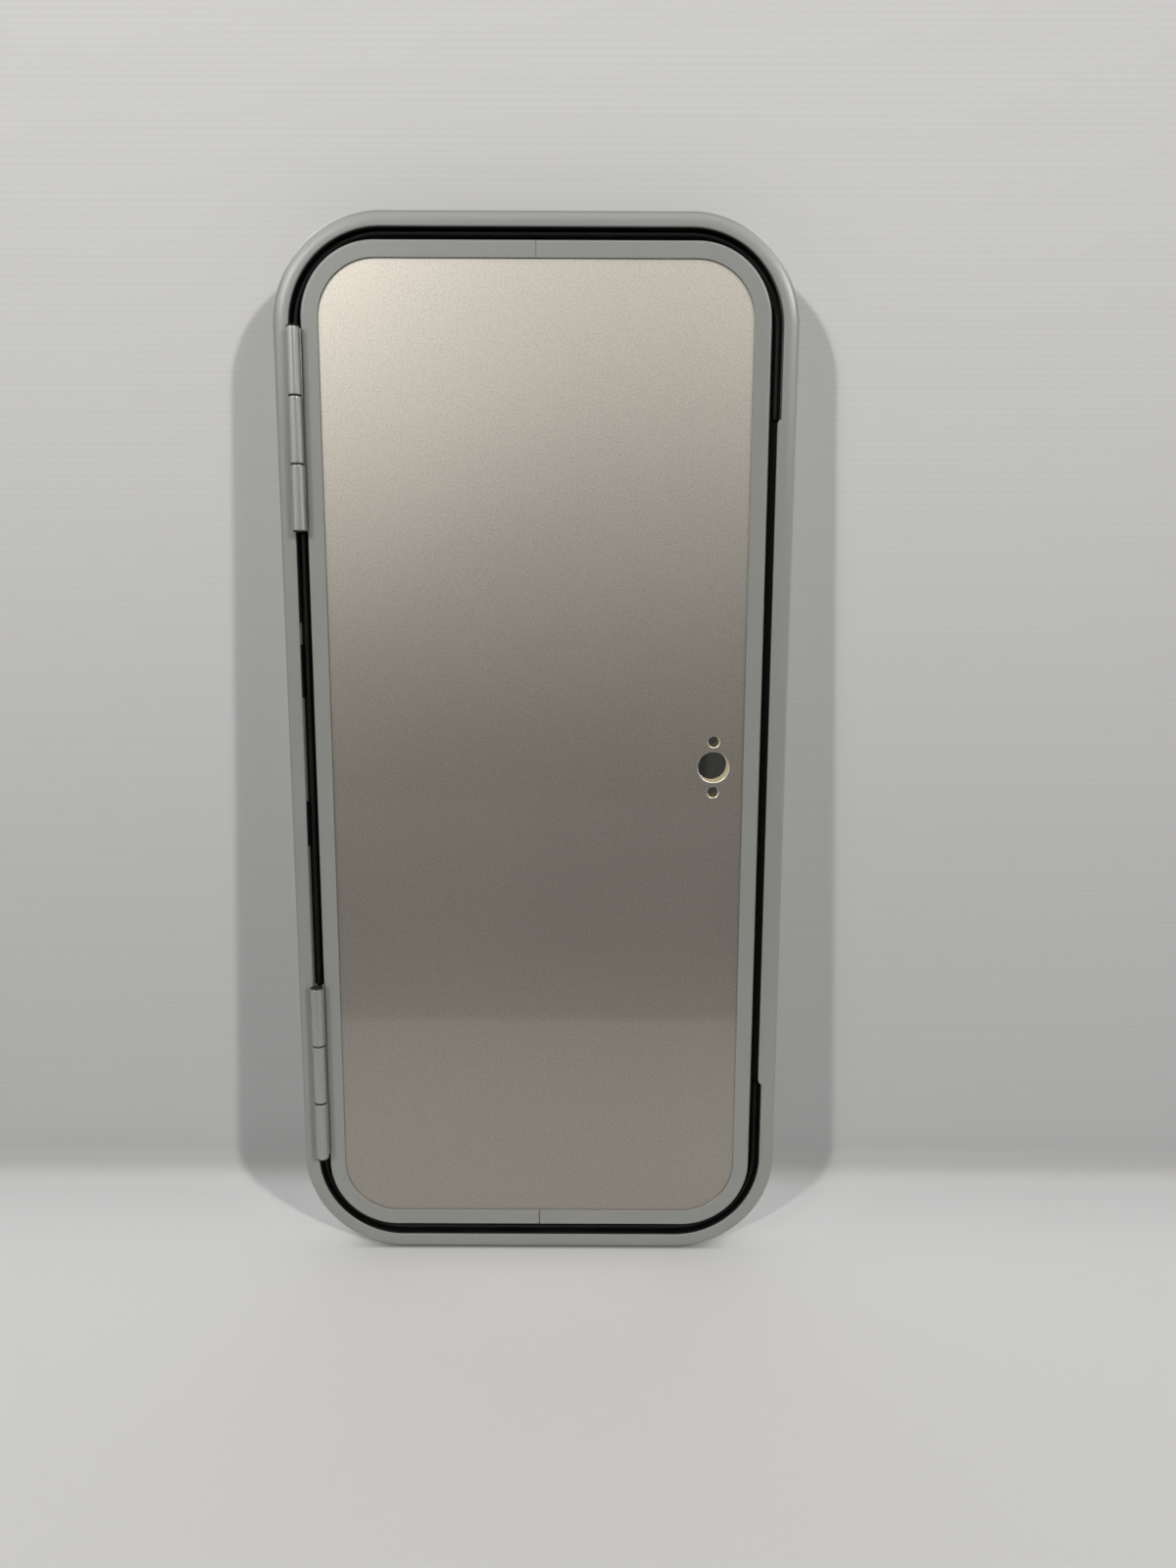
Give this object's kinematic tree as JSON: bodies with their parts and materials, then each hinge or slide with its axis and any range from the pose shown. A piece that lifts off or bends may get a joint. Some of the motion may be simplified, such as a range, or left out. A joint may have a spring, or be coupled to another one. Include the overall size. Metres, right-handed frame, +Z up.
{
  "type": "caravan service hatch",
  "caption": "Upright caravan service hatch: a hinged foam-panel leaf with rounded corners in a bent aluminium frame with a rubber seal. The lock cut-out is empty.",
  "frame": {"origin": "middle of the opening, on the plane where the back of the flange meets the wall", "axes": "+Z up, +X to the right seen from outside, front faces -Y, +Y into the vehicle"},
  "size_m": [0.352, 0.0412, 0.739],
  "materials": {
    "grey_paint": "satin",
    "champagne_paint": "metallic satin",
    "inner_paint": "satin",
    "foam": "matte",
    "black_rubber": "matte",
    "pin_steel": "brushed",
    "black_plastic": "matte"
  },
  "bodies": {
    "frame": {"outer_frame": "grey_paint", "frame_seal": "black_rubber", "strike_strip": "grey_paint", "upper_hinge_frame_plate": "grey_paint", "upper_hinge_pin": "pin_steel", "upper_hinge_washer_top": "black_plastic", "upper_hinge_washer_bottom": "black_plastic", "upper_hinge_cap_top": "black_plastic", "upper_hinge_cap_bottom": "black_plastic", "lower_hinge_frame_plate": "grey_paint", "lower_hinge_pin": "pin_steel", "lower_hinge_washer_top": "black_plastic", "lower_hinge_washer_bottom": "black_plastic", "lower_hinge_cap_top": "black_plastic", "lower_hinge_cap_bottom": "black_plastic"},
    "leaf": {"leaf_edge_left": "grey_paint", "leaf_edge_right": "grey_paint", "outer_skin": "champagne_paint", "foam_core": "foam", "inner_skin": "inner_paint", "upper_hinge_leaf_plate": "grey_paint", "lower_hinge_leaf_plate": "grey_paint"}
  },
  "joints": [
    {"name": "leaf_swing", "type": "hinge", "parent": "frame", "child": "leaf", "pos_m": [-0.1605, -0.0128, 0], "axis": [0, 0, -1], "range_deg": [0, 180]}
  ]
}
